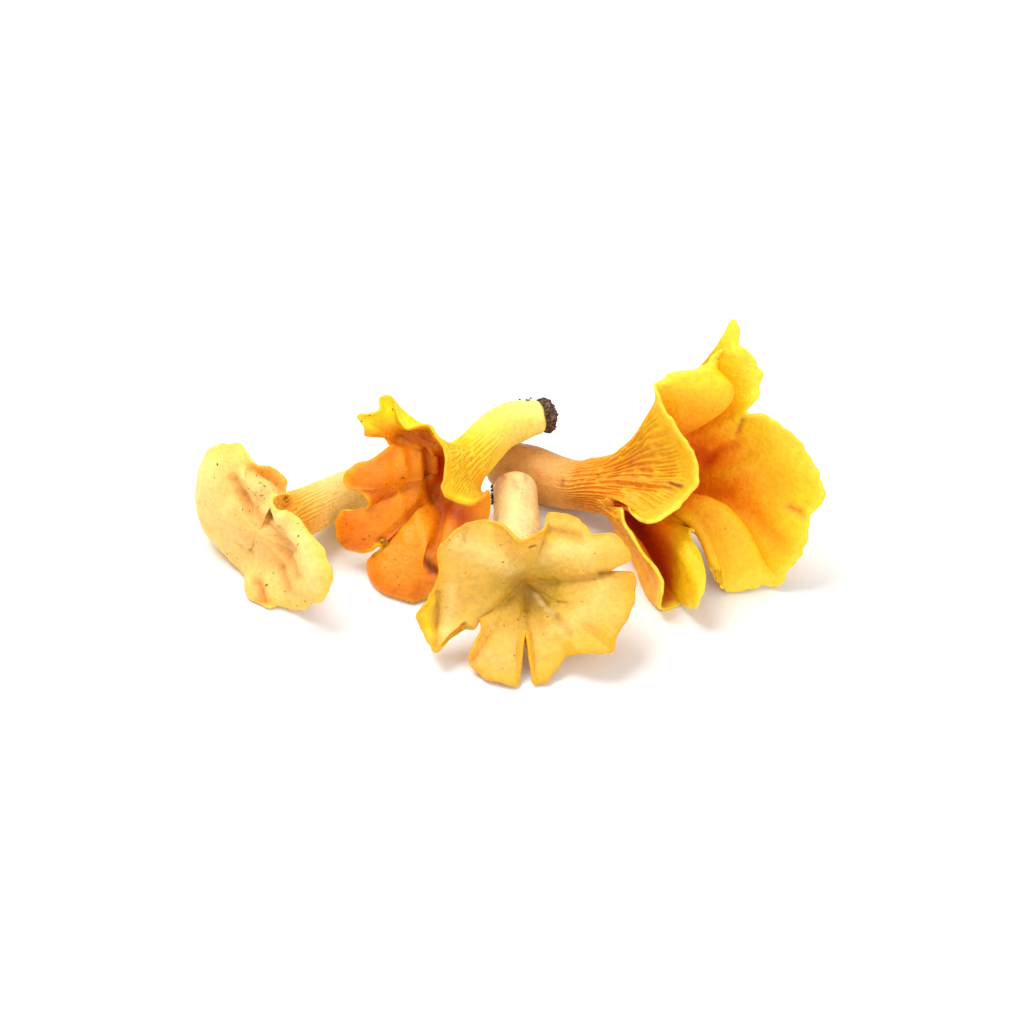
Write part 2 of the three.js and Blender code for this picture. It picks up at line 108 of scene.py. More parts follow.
# Points are in millimetres as the heap looks from its front: across, up the view, and height above the table.
# A stem's points also have a radius. A rib's have how much it bulges along the neck and how much it arches.
# bulge is how far the stem's end stands out, in radii. fill is the share of each rib where the throat closes
# over the stem, and lift is how far the middle of the throat is raised, in millimetres. dome is added to each
# rib's bulge. flare is how far ribs follow the neck before they turn out. calm is how often the margin that
# guides them is smoothed. gill_height and lumps are in millimetres.
MUSHROOMS = {
    "large_chanterelle": {
        "bulge": 0.55, "fill": 0.14, "lift": -5, "dome": 0, "flare": 0.3, "calm": 1,
        "gills": 50, "gill_height": 0.6, "seed": 11, "lumps": 0.7,
        "stem": [[-3, 29.5, 8.5, 7.5], [5.4, 26.5, 8, 8.2], [14.4, 23.3, 7.8, 8], [21.3, 22.1, 10, 7.4],
                 [26.5, 22.3, 13, 8]],
        "ribs": [
            # the near wall and the tongue that hangs from it
            [42, 51.3, 62, 0.15], [42.9, 47.1, 60], [45, 42.9, 57], [48.9, 38.1, 53], [52.5, 32.4, 48],
            [54, 26.7, 43], [53.4, 21.9, 39], [50.4, 18.6, 35], [47.4, 15.3, 32], [43.2, 11.1, 29],
            [39.3, 9.9, 27], [35.4, 12.9, 27], [34.5, 16, 25], [33.9, 15.6, 22],
            # the lower left fold and the round lobe beside it
            [34.5, 10, 21], [37.5, 4.2, 19], [42, -0.9, 16], [45.3, -7.2, 12],
            [43.8, -14.4, 4, -0.05, -0.2], [47.4, -14.4, 0.5, -0.1, -0.4], [51.3, -12.9, 2, -0.05, -0.35],
            [54.3, -14.1, 7, 0.2, 0.1], [55.8, -11.4, 11, 0.15, 0.15], [56.2, -5.1, 15, 0.1, 0.15],
            [54.6, 2.1, 18, 0.05, 0.1], [53.4, 8.1, 19],
            # the lobe that arches over in front
            [58.8, 4.2, 13, 0, 0.2], [62, -0.9, 9, 0, 0.45], [61.8, -7.8, 4, 0, 0.65],
            [63.6, -9.6, 0.5, 0, 0.8], [69.6, -9.9, 0.5, 0, 0.85], [76.2, -8.7, 0.5, 0, 0.75],
            # the wide far wall
            [81, -6, 4], [84.3, -0.6, 10], [87.9, 5.4, 17], [88.2, 12.3, 23], [92.4, 20.1, 31],
            [87.9, 30.3, 39], [84.9, 35.4, 43], [79.5, 40.5, 48], [74.4, 43.2, 50], [69.6, 43.5, 50],
            # the tall twisted lobe
            [72.3, 47.1, 54], [73.8, 53.1, 59], [71.4, 59.4, 64], [67.8, 62.7, 66], [67.5, 67.5, 70],
            [65.1, 70.8, 72], [63.6, 68.7, 70], [62.1, 63.3, 65], [58.8, 58.5, 60, 0.4],
            # the smooth lobe behind the near wall
            [54.9, 55.5, 59, 0.95], [48.9, 54.9, 60, 0.9], [44.4, 53.1, 62, 0.6],
        ],
    },
    "ruffled_chanterelle": {
        "bulge": 0.55, "fill": 0.14, "lift": -4, "dome": 0, "flare": 0.25, "calm": 5,
        "gills": 52, "gill_height": 0.45, "seed": 12, "lumps": 2.2,
        "stem": [[7.5, 43.2, 24, 5.3], [1, 41.7, 24, 6.6], [-4.5, 38.7, 24.5, 6.7], [-9, 34, 25, 6.5],
                 [-13.5, 29.5, 25, 6.8]],
        "ribs": [
            # the frilled top and the forked horn
            [-22.5, 36, 41], [-26.1, 37.5, 42], [-30.9, 38.4, 42], [-33.6, 43.5, 44], [-35.1, 48, 46],
            [-37.5, 48.9, 46], [-39.9, 47.7, 45], [-39.9, 44.4, 44], [-45.3, 44.1, 43], [-46.2, 41.7, 41],
            [-45, 39.3, 40], [-39.9, 37.5, 37], [-35.4, 34.8, 34],
            # the lobes down the left
            [-38.4, 32.1, 32, 0.1], [-42.6, 29.1, 30, 0.2], [-46.2, 27.9, 29, 0.3], [-48.6, 26.1, 27, 0.3],
            [-49.2, 22.8, 24, 0.2], [-47.7, 19.8, 22, 0.1], [-43.8, 17.1, 21], [-48.9, 15, 17, 0.2],
            [-51.6, 11.1, 13, 0.35], [-51.6, 6.6, 9.5, 0.35], [-49.5, 3.3, 7, 0.3], [-45, 2.1, 7, 0.2],
            [-41.4, 2.7, 9, 0.1], [-38.7, 4.2, 11],
            # the bottom lobe
            [-43.2, -0.3, 5, 0.2], [-43.5, -3.9, 2.5, 0.3], [-41.7, -7.2, 1, 0.35],
            [-38.1, -10.2, 0.5, 0.35], [-33.9, -11.7, 0.5, 0.35], [-30, -12.9, 0.5, 0.3],
            [-26.4, -11.7, 1, 0.3], [-22.8, -8.1, 5, 0.3], [-20.4, -3.9, 9, 0.3], [-19.2, 1.2, 12, 0.2],
            # the fold under the near wall
            [-18, 5.7, 14], [-12.6, 7.2, 14], [-8.4, 10.2, 15], [-7.2, 16.2, 18], [-8.1, 20.7, 22],
            # the near wall
            [-9.6, 17.7, 25], [-12, 15.6, 26], [-15, 16.2, 27], [-17.4, 17.4, 28], [-19.8, 18.9, 30],
            [-21, 21.6, 32], [-20.4, 24.6, 34], [-19.8, 29.1, 37], [-20.4, 33, 39],
        ],
    },
    "front_chanterelle": {
        "bulge": 0.8, "fill": 0.32, "lift": -2, "dome": 0, "flare": 0.2, "calm": 3,
        "gills": 38, "gill_height": 0.7, "seed": 13, "lumps": 1.2,
        "stem": [[0.9, 20.3, 12, 6.9], [1.5, 10, 10, 7], [2.5, 1, 11, 6.8], [4, -6, 15, 7]],
        "ribs": [
            # the upper left lobe
            [-2.1, 9.6, 35], [-7.5, 11.4, 34], [-12.3, 10.8, 35], [-18, 7.8, 34], [-21.3, 3.3, 30],
            [-21.6, -3.9, 24],
            # the lobe that stands back at the left, and the folded tip
            [-24, -10.5, 17], [-27.9, -15.6, 11], [-25.2, -21.3, 6], [-22.2, -26.7, 6.5], [-19.8, -25.5, 8],
            [-16.2, -20.1, 10], [-11.9, -12.6, 11],
            # the bottom lobes with the slit between
            [-9.6, -19.5, 10], [-12, -26.7, 6.5], [-12.6, -30, 3], [-8.7, -33.6, 1], [-3.9, -36, 0.5],
            [2.4, -36.3, 0.5], [3.9, -21.3, 11], [5.7, -35.4, 1], [9.9, -35.4, 1], [12.3, -33, 2.5],
            [15.9, -27.9, 6],
            # the right lobes with the notch between
            [21, -26.7, 10], [28.8, -27, 9], [30.3, -22.8, 12], [33, -17.7, 15], [35.7, -10.5, 19],
            [35.4, -3.9, 23], [27.3, -3, 23], [33.9, -0.3, 27], [33.6, 3.9, 30], [29.1, 7.8, 31],
            [23.4, 7.5, 30],
            # the small lobe behind the top
            [19.8, 11.4, 30], [14.4, 13.2, 31], [9.9, 12.9, 31], [8.7, 8.7, 31], [3, 5.7, 33],
        ],
    },
    "left_chanterelle": {
        "bulge": 0.55, "fill": 0.52, "lift": 2, "dome": 0.3, "flare": 0.3, "calm": 3,
        "gills": 40, "gill_height": 0.6, "seed": 14, "lumps": 0.7,
        "stem": [[-31, 25, 6.3, 6.5], [-42, 22.5, 6.9, 7], [-53, 18.5, 9.5, 7.2], [-62, 14.5, 13, 7],
                 [-68, 11.5, 15, 7]],
        "ribs": [
            # the far side, then round by the left
            [-81.6, 33.9, 34.4, 0.15], [-85.8, 33.9, 31.2, 0.25], [-90.3, 32.4, 26.5, 0.35],
            [-92.7, 28.8, 21.3, 0.4], [-94.5, 22.2, 13.7, 0.4], [-93.9, 15.6, 8, 0.4],
            [-91.8, 10.5, 4.8, 0.4], [-88.2, 5.7, 3, 0.35], [-84, 0.3, 1.1, 0.25],
            # the bottom, where the rim rests on the table
            [-80.7, -2.7, 0.8], [-78.6, -5.4, 0.5], [-78, -9.3, 0.5], [-75.6, -12.9, 0.5],
            [-72.6, -14.1, 0.5], [-69.6, -13.5, 0.5], [-65.1, -14.4, 1.5], [-61.8, -14.1, 4.3],
            [-59.7, -12.3, 7.6],
            # the near edge up the right
            [-55.5, -10.8, 12.2], [-53.1, -5.7, 18.8], [-54.3, -0.6, 22.6], [-56.1, 3.9, 25.5],
            [-59.7, 7.2, 25.9], [-62.7, 11.4, 27.6], [-66.3, 14.4, 27.7], [-69, 18, 29],
            # the lobe behind
            [-67.5, 20.7, 24], [-68.7, 24.3, 26], [-72.3, 27.3, 30], [-76.2, 27.9, 33], [-78.9, 31.5, 34.5],
        ],
    },
}


def at(across, up, height):
    """A point of the part's frame, in metres, from the way it looks from the front."""
    depth = (up - height * math.cos(VIEW_TILT)) / math.sin(VIEW_TILT)
    return np.array([across, depth, height]) * MM + HEAP_SHIFT


# Colours of the tints, and of the painted shade and highlight, that lie over the flesh, as picked on a screen,
# from 0 to 255.
TINTS_AND_SHADES = {
    "deep red": (176, 44, 2),
    "red": (205, 66, 2),
    "orange": (240, 118, 2),
    "rust": (178, 66, 4),
    "golden": (252, 172, 8),
    "yellow": (255, 208, 12),
    "lemon": (255, 232, 70),
    "cream": (252, 222, 142),
    "peach": (248, 178, 92),
    "tan": (214, 122, 40),
    "olive": (158, 112, 28),
    "brown": (118, 46, 6),
}

# Creases, swellings and colours of the caps: the points that each follows, across and up, its height, below 0
# for a crease, its width, the share of its colour, the colour, which is painted shade in the creases, hollows
# and grooves noted below, a painted highlight on the one swelling noted and a tint of the flesh elsewhere, and
# the side that shows it. Lengths are in millimetres.
STROKES = {
    "large_chanterelle": [
        # painted shade in the pocket between the two front folds, and a yellow strip on the fold beside it
        ([(31, 17), (38, 10), (43, 2), (46, -6), (47, -12)], -1.5, 4.8, 1.0, "red", "upper"),
        ([(52, 19), (50, 14)], 0, 2.5, 0.8, "red", "upper"),
        ([(51.5, 12), (52.5, 0), (51, -12)], 0.3, 3.6, 1.0, "yellow", "upper"),
        # painted shade in the throat and the creases that run from it, with a yellow ridge and the yellow far
        # wall among them
        ([(55, 34), (59, 27), (57, 20)], -1.0, 6.0, 0.75, "orange", "upper"),
        ([(56, 32), (60, 30)], 0, 2.5, 0.5, "red", "upper"),
        ([(58, 29), (62, 33), (67, 35)], -0.9, 1.4, 0.5, "red", "upper"),
        ([(60, 25), (68, 28), (78, 30)], 0.8, 3.0, 0.35, "yellow", "upper"),
        ([(62, 20), (72, 14), (80, 5)], -0.9, 3.0, 0.3, "orange", "upper"),
        ([(76, 41), (84, 33), (90, 22), (87, 10)], 0, 6.0, 0.6, "yellow", "upper"),
        ([(80, 38), (88, 28)], 0, 3.0, 0.45, "lemon", "upper"),
        ([(83, 15.5), (86, 14), (87, 12)], -1.0, 1.1, 0.6, "tan", "upper"),
        ([(68.5, 42), (67.5, 38)], -0.8, 0.7, 0.6, "rust", "upper"),
        # the lobe behind the near wall, and the pale margin of the tall lobe
        ([(45, 50), (52, 46), (60, 42)], 0, 5.0, 0.5, "golden", "both"),
        ([(69, 64), (72, 56), (74, 49)], 0, 3.5, 0.6, "lemon", "both"),
        ([(64, 69), (67, 66)], 0, 3.0, 0.5, "lemon", "both"),
        # the crest of the lobe that arches over
        ([(56, 17), (64, 15), (72, 8), (77, 0)], 0, 3.0, 0.45, "yellow", "upper"),
        # brown nicks of the near wall, and painted shade in the crease above its tongue
        ([(47.5, 22.5), (50, 21.8)], -0.6, 0.7, 0.9, "brown", "under"),
        ([(33, 24), (40, 22.5), (46, 22.5)], -0.9, 1.0, 0.4, "tan", "under"),
        ([(38, 23), (41, 22.6)], -0.4, 0.4, 0.5, "rust", "under"),
        ([(36, 29.5), (41, 28)], -0.3, 0.8, 0.5, "tan", "under"),
        # painted shade on the underside of the stem, and its dark spots
        ([(20, 16), (30, 15.5)], 0, 2.5, 0.4, "tan", "under"),
        ([(15.5, 24.5), (15.5, 22)], -0.2, 0.4, 0.5, "brown", "under"),
        ([(26, 25.5), (27, 23)], -0.3, 0.4, 0.5, "brown", "under"),
    ],
    "ruffled_chanterelle": [
        # painted shade in the hollow under the frilled top and in the grooves between the curls below it
        ([(-33, 36), (-26, 37)], -2.6, 2.6, 0.5, "rust", "upper"),
        ([(-28.5, 34), (-29, 26)], 1.6, 1.1, 0.4, "golden", "upper"),
        ([(-26.4, 33), (-26.4, 26)], -1.7, 0.9, 0.6, "rust", "upper"),
        ([(-24.4, 33), (-24, 27)], 1.6, 1.0, 0.5, "golden", "upper"),
        ([(-22.4, 31), (-22.4, 24)], -1.8, 1.2, 0.9, "red", "upper"),
        ([(-33.5, 33), (-33, 27)], 1.3, 1.4, 0.3, "golden", "upper"),
        # folds of the face, with painted shade in their creases
        ([(-30, 24), (-29, 16), (-27, 8), (-24, 0)], 1.8, 3.0, 0.35, "golden", "upper"),
        ([(-24, 22), (-21, 14), (-22, 4), (-23, -4)], -2.0, 1.6, 0.55, "rust", "upper"),
        ([(-44, 18), (-36, 20), (-30, 22)], -1.2, 1.8, 0.3, "rust", "upper"),
        ([(-38, 5), (-33, 10), (-28, 16)], -1.6, 1.6, 0.35, "rust", "upper"),
        ([(-35, 24), (-34, 14), (-31, 4)], 1.0, 1.6, 0.3, "golden", "upper"),
        ([(-27, 26), (-26, 21), (-24, 17)], -0.8, 1.0, 0.6, "brown", "upper"),
        ([(-40, 24), (-44, 20)], 0.8, 3.5, 0.45, "orange", "upper"),
        ([(-48, 12), (-44, 8)], 0.8, 4.0, 0.4, "orange", "upper"),
        ([(-39, 5.5), (-38, 4)], -0.8, 0.9, 0.9, "brown", "upper"),
        # the fold under the near wall: painted shade in its hollow, and a yellow strip
        ([(-19, 15), (-15, 12)], -0.5, 3.0, 0.8, "deep red", "upper"),
        ([(-9, 23), (-8, 12)], 0, 2.4, 0.85, "golden", "both"),
        ([(-24, -2), (-22.5, -3.5)], -0.5, 1.2, 0.9, "brown", "upper"),
    ],
    "front_chanterelle": [
        # painted shade in the dip at the middle and the creases that run from it, and a pale ridge
        ([(4, -8), (8, -12), (13, -17), (17, -22)], -1.0, 1.2, 0.35, "olive", "upper"),
        ([(4.5, -10), (4, -20)], -0.9, 1.2, 0.35, "olive", "upper"),
        ([(2, -9), (-4, -14), (-10, -17)], -0.9, 1.6, 0.25, "olive", "upper"),
        ([(8, -7), (18, -6), (28, -4)], -0.8, 1.6, 0.3, "olive", "upper"),
        ([(2, -6), (5, -10)], -1.8, 3.5, 0.55, "olive", "upper"),
        ([(6.9, -10.8), (9, -13.5), (12.3, -15.9)], 0.5, 0.9, 0.6, "cream", "upper"),
        # pale swellings round the middle
        ([(-16, 5), (-8, 2), (0, -2)], 0.9, 3.5, 0.45, "cream", "upper"),
        ([(10, 2), (22, 2)], 0.9, 3.0, 0.4, "cream", "upper"),
        ([(12, -22), (24, -16), (28, -8)], 0.8, 3.0, 0.2, "cream", "upper"),
        ([(-18, -8), (-19, -22)], 1.0, 2.2, 0.45, "cream", "upper"),
        # the orange bottom lobes and right rim
        ([(-9, -31), (-4, -33)], 0, 6.0, 0.7, "peach", "upper"),
        ([(-8, -33), (0, -35), (10, -34)], 0, 3.0, 0.6, "golden", "upper"),
        ([(12, -30), (20, -24), (28, -24)], 0, 3.5, 0.5, "golden", "upper"),
        ([(34, -18), (35, -6)], 0, 2.0, 0.5, "golden", "upper"),
        # the bright yellow flap at the left and the shreds behind the stem, with painted shade in the creases
        # beside them
        ([(-21.9, -9), (-22.3, -25)], -1.4, 0.8, 0.5, "olive", "upper"),
        ([(-25, -11), (-26.5, -15.5), (-24.5, -21)], 0, 2.6, 1.0, "yellow", "both"),
        ([(8.6, 12), (9.2, 8.6), (11, 6)], 0.5, 1.0, 0.7, "yellow", "upper"),
        ([(11, 8.5), (16, 7.5), (20, 6)], -1.2, 1.4, 0.35, "olive", "upper"),
        # small marks
        ([(26, -3.5), (29, -3)], -0.5, 0.7, 0.7, "brown", "upper"),
        ([(-13, 10), (-14, 6)], -0.4, 1.0, 0.35, "olive", "upper"),
        ([(4.5, 4.6), (6, 5)], -0.2, 0.3, 0.8, "brown", "upper"),
        ([(14, -12.5), (16.5, -12.8)], -0.2, 0.35, 0.6, "brown", "upper"),
        # pits and stains of the stem's end
        ([(0, 24), (1.5, 21.5)], -0.8, 0.9, 0.5, "tan", "under"),
        ([(-3, 25), (-2, 24)], -0.5, 0.7, 0.5, "tan", "under"),
        ([(4, 25), (4.6, 23.4)], -0.5, 0.6, 0.4, "brown", "under"),
    ],
    "left_chanterelle": [
        # painted shade in the long groove and the crease beside it, the ridges to the right of them, and a
        # painted highlight on the swelling at the left
        ([(-83, 24), (-79, 16), (-75.6, 11), (-68, 4), (-65, -1), (-63.6, -5)],
         -2.2, 1.7, 0.3, "tan", "upper"),
        ([(-79, 25), (-73.2, 21.3), (-69, 17), (-66, 13)], 2.2, 1.7, 0.7, "cream", "upper"),
        ([(-77, 27), (-72, 24), (-68, 20.5)], -2.0, 1.3, 0.5, "tan", "upper"),
        ([(-72, 16), (-62, 6), (-58, -2), (-57, -7)], 1.4, 2.4, 0.5, "cream", "upper"),
        ([(-90, 26), (-88, 16), (-82, 7), (-77, 0)], 1.4, 4.0, 0.3, "cream", "upper"),
        # the peach middle and the brownish dents
        ([(-82, 12), (-76, 4), (-71, -4)], 0, 4.5, 0.5, "peach", "upper"),
        ([(-68, -3), (-66, -9)], -1.2, 1.5, 0.5, "tan", "upper"),
        ([(-66.5, 6), (-63, 3)], -0.7, 1.5, 0.6, "tan", "upper"),
        ([(-71, 13), (-69, 10.5)], -0.5, 1.2, 0.6, "tan", "upper"),
        # the small curled lobe at the bottom, with painted shade in its curl, and the dark nick
        ([(-75.5, -8), (-74, -12.5)], -2.2, 1.7, 0.75, "tan", "upper"),
        ([(-79, -8), (-77, -12)], 0.8, 1.2, 0.3, "cream", "upper"),
        ([(-64, -9), (-60, -12)], 0, 2.5, 0.4, "peach", "upper"),
        ([(-59, -12.5), (-58, -13)], -0.5, 0.7, 1.0, "brown", "upper"),
        # the shaded lobe behind
        ([(-75, 26.5), (-69, 21.5)], 0, 2.5, 0.5, "golden", "both"),
    ],
}


def srgb(*colour):
    """A colour as picked on a screen, from 0 to 255, for the shader."""
    return tuple(((c / 255 + 0.055) / 1.055) ** 2.4 if c > 10 else c / 255 / 12.92 for c in colour)


def smoothstep(low, high, x):
    f = np.clip((x - low) / (high - low), 0, 1)
    return f * f * (3 - 2 * f)


def mix(a, b, share):
    return a + (b - a) * share


def unit(v):
    return v / np.maximum(np.linalg.norm(v, axis=-1, keepdims=True), 1e-12)


class Noise:
    """Smooth seeded noise in space, from about -1 to 1."""

    SIZE = 32

    def __init__(self, seed):
        self.values = np.random.default_rng(seed).uniform(-1, 1, (self.SIZE,) * 3)

    def __call__(self, points, cell):
        p = points / cell
        whole = np.floor(p).astype(int)
        f = p - whole
        f = f * f * (3 - 2 * f)
        total = 0
        for corner in np.ndindex(2, 2, 2):
            i, j, k = [(whole[..., n] + corner[n]) % self.SIZE for n in range(3)]
            weight = 1
            for n in range(3):
                weight = weight * (f[..., n] if corner[n] else 1 - f[..., n])
            total = total + weight * self.values[i, j, k]
        return total


def closed_curve(values, share):
    """A smooth closed curve through rows of values, at shares of the way round."""
    n = len(values)
    x = (share % 1) * n
    i = np.floor(x).astype(int) % n
    f = (x - np.floor(x))[..., None]
    a, b, c, d = [values[(i + k) % n] for k in (-1, 0, 1, 2)]
    leave = RIB_PULL * (c - a)
    arrive = RIB_PULL * (d - b)
    f2 = f * f
    f3 = f2 * f
    return (2 * f3 - 3 * f2 + 1) * b + (f3 - 2 * f2 + f) * leave + (3 * f2 - 2 * f3) * c + (f3 - f2) * arrive


def path_point(points, share):
    """A point at a share of the way along a centripetal curve through points."""
    last = len(points) - 2
    k = min(int(share * (last + 1)), last)
    w = share * (last + 1) - k
    p1 = points[k]
    p2 = points[k + 1]
    p0 = points[k - 1] if k > 0 else 2 * p1 - p2
    p3 = points[k + 2] if k < last else 2 * p2 - p1
    d0, d1, d2 = [np.linalg.norm(b - a) ** 0.5 for a, b in ((p0, p1), (p1, p2), (p2, p3))]
    t1 = d1 * ((p1 - p0) / d0 - (p2 - p0) / (d0 + d1) + (p2 - p1) / d1)
    t2 = d1 * ((p2 - p1) / d1 - (p3 - p1) / (d1 + d2) + (p3 - p2) / d2)
    return p1 + t1 * w + (3 * (p2 - p1) - 2 * t1 - t2) * w ** 2 + (2 * (p1 - p2) + t1 + t2) * w ** 3


class Mushroom:
    """The surface of one mushroom: a stem that widens into a cap between smooth curves called ribs."""

    def __init__(self, spec, strokes):
        self.spec = spec
        self.strokes = strokes
        self.noise = Noise(spec["seed"])
        self.lift = spec["lift"] * MM
        self.path = np.array([at(*s[:3]) for s in spec["stem"]])
        self.radii = [s[3] * MM for s in spec["stem"]]
        self.frames = self.stem_frames(STEM_RINGS)
        self.neck = self.frames[-1]
        self.fit_ribs()

    def stem_frames(self, rows):
        frames = []
        side = None
        for i in range(rows + 1):
            share = i / rows
            ahead = path_point(self.path, min(share + STEP, 1))
            behind = path_point(self.path, max(share - STEP, 0))
            along = unit(ahead - behind)
            if side is None:
                side = np.cross([0, 0, 1], along)
            side = unit(side - side.dot(along) * along)
            x = share * (len(self.radii) - 1)
            k = min(int(x), len(self.radii) - 2)
            radius = mix(self.radii[k], self.radii[k + 1], smoothstep(0, 1, x - k))
            frames.append((path_point(self.path, share), along, side, np.cross(along, side), radius))
        return frames

    def ring_points(self, frame, turn, radius):
        centre, _, side, other, _ = frame
        turn = np.asarray(turn)[..., None]
        return centre + radius * (np.cos(turn) * side + np.sin(turn) * other)

    def fit_ribs(self):
        """The control points of each rib, as in the part, less its turn."""
        centre, along, side, other, radius = self.neck
        ribs = [list(r) + [0] * (5 - len(r)) for r in self.spec["ribs"]]
        tips = np.array([at(*r[:3]) for r in ribs])
        calm = tips
        for _ in range(self.spec["calm"]):
            calm = (2 * calm + np.roll(calm, -1, 0) + np.roll(calm, 1, 0)) / 4
        out = calm - centre
        bearings = np.unwrap(np.arctan2(out @ other, out @ side))
        even = 2 * np.pi * np.arange(len(ribs)) / len(ribs)
        middle = np.mean(bearings - even)
        shifts = mix(bearings - even, middle, EVENNESS)
        for _ in range(SPREAD_PASSES):
            shifts = (shifts + np.roll(shifts, 1) + np.roll(shifts, -1)) / 3
        roots = self.ring_points(self.neck, even + shifts, radius)
        length = np.linalg.norm(roots - calm, axis=1)[:, None]
        curl = np.array([[r[3]] for r in ribs]) + self.spec["dome"]
        arch = np.array([[r[4]] for r in ribs])
        flare = roots + along * self.spec["flare"] * length
        late = mix(calm, flare, MARGIN_REACH) + along * curl * length + np.array([0, 0, 1]) * arch * length
        self.controls = np.hstack([flare, late, tips, shifts[:, None]])

    def turn(self, round_):
        return closed_curve(self.controls, round_)[..., 9] + 2 * np.pi * round_

    def under(self, round_, out):
        """The underside without its gills, at shares round the cap and of the way out to the margin."""
        c = closed_curve(self.controls, round_)
        root = self.ring_points(self.neck, c[..., 9] + 2 * np.pi * round_, self.neck[4])
        t = np.asarray(out)[..., None]
        s = 1 - t
        inner = s ** 3 * root + 3 * s ** 2 * t * c[..., 0:3]
        return inner + 3 * s * t ** 2 * c[..., 3:6] + t ** 3 * c[..., 6:9]

    def slopes(self, round_, out):
        """The directions out of the underside and towards the margin."""
        low = np.maximum(out - STEP, 0)
        high = np.minimum(out + STEP, 1)
        across = self.under(round_ + STEP, out) - self.under(round_ - STEP, out)
        onward = self.under(round_, high) - self.under(round_, low)
        return unit(np.cross(across, onward)), unit(onward)

    def gills(self, round_, along):
        """Forking ridges with veins between them, from 0 in a valley to 1 on a crest.

        along is 0 at the stem's foot, 1 at the neck and 2 at the margin.
        """
        count = self.spec["gills"]
        rng = np.random.default_rng(self.spec["seed"])
        first = rng.uniform(1.05, 1.4, count)
        second = rng.uniform(1.4, 1.8, (count, 2))
        wide_bend = 0.25 * np.sin(2 * np.pi * (3 * round_ + 0.7 * along))
        small_bend = 0.12 * np.sin(2 * np.pi * (11 * round_ + 1.7 * along))
        x = round_ * count + (wide_bend + small_bend)
        cell = np.floor(x).astype(int) % count
        place = x - np.floor(x) - 0.5
        spread = smoothstep(0, 0.3, along - first[cell])
        crest = np.zeros_like(place)
        for branch in (0, 1):
            late = smoothstep(0, 0.3, along - second[cell, branch])
            middle = (2 * branch - 1) * 0.25 * spread
            width = 0.17 - 0.085 * spread - 0.03 * late
            for twig in (-1, 1):
                crest = np.maximum(crest, np.exp(-((place - middle - twig * 0.115 * late) / width) ** 2))
        veins = self.noise(np.column_stack([x, along * VEIN_ROWS, 0 * x]), count / VEIN_CELLS)
        return np.maximum(crest, VEIN_SHARE * smoothstep(0.2, 0.55, veins))

    def rows(self):
        """Every ring of the skin from foot to throat, as points, along, upper, crest and tint, which holds
        painted shade too.
        """
        round_ = np.arange(COLUMNS) / COLUMNS
        turn = self.turn(round_)
        rings = []
        ones = np.ones(COLUMNS)
        none = np.zeros(COLUMNS)
        _, axis, _, _, radius = self.frames[0]
        for i in range(1, BASE_RINGS + 1):
            slope = math.pi / 2 * i / (BASE_RINGS + 1)
            ring = self.ring_points(self.frames[0], turn, radius * math.sin(slope))
            ring = ring - self.spec["bulge"] * radius * math.cos(slope) * axis
            rings.append((ring, none, none, none, self.sculpted(ring, 0)[1]))
        height = self.spec["gill_height"] * MM
        for i, f in enumerate(self.frames[:-1]):
            along = i / STEM_RINGS * ones
            crest = self.gills(round_, along) * smoothstep(GILL_START, 1, along)
            ring = self.ring_points(f, turn, f[4])
            normal = unit(ring - f[0])
            ring = ring + normal * (height * crest)[:, None]
            tint_and_shade = self.sculpted(ring, 0)[1]
            rings.append((self.roughened(ring, normal, 0.5, 5), along, none, crest, tint_and_shade))
        for i in range(CAP_RINGS + 1):
            out = np.full(COLUMNS, i / CAP_RINGS)
            crest = self.gills(round_, 1 + out) * (1 - smoothstep(GILL_FADE, GILL_END, out))
            points, tint_and_shade = self.sheet(round_, out, 0, crest)
            rings.append((points, 1 + out, none, crest, tint_and_shade))
        for i in range(1, RIM_RINGS):
            points, tint_and_shade = self.sheet(round_, ones, i / RIM_RINGS, none)
            rings.append((points, 2 * ones, i / RIM_RINGS * ones, none, tint_and_shade))
        for i in range(UPPER_RINGS + 1):
            out = np.full(COLUMNS, mix(1, self.spec["fill"], i / UPPER_RINGS))
            points, tint_and_shade = self.sheet(round_, out, 1, none)
            rings.append((points, 1 + out, ones, none, tint_and_shade))
        rings += self.throat(rings[-1][0], rings[-2][0])
        return rings

    def sheet(self, round_, out, through, crest):
        """Points of the cap, through from 0 on the underside to 1 on the upper side."""
        margin = self.under(round_, np.ones(COLUMNS))
        frill = RIM_FRILL * self.noise(margin, FRILL_CELL)
        stretched = out * (1 + frill * out ** 6)
        spread = np.arange(-4, 5) / COLUMNS
        normal = unit(sum(self.slopes(round_ + d, out)[0] for d in spread))
        onward = self.slopes(round_, out)[1]
        thick = mix(THICK_AT_NECK, THICK_AT_RIM, out)[:, None]
        points = self.under(round_, stretched)
        push, tint_and_shade = self.sculpted(points, through)
        points = points - normal * (push * smoothstep(SCULPT_START, SCULPT_FULL, out))[:, None]
        ridge = crest * self.spec["gill_height"] * MM * smoothstep(0, 0.1, 1 - out)
        points = points + normal * ridge[:, None]
        turned = math.pi * through
        edge = np.isclose(out, 1)[:, None]
        points = points - normal * thick * (1 - math.cos(turned)) / 2
        points = points + edge * onward * thick * math.sin(turned) / 2
        return self.roughened(points, normal, 1 if through else 0.6, 9), tint_and_shade

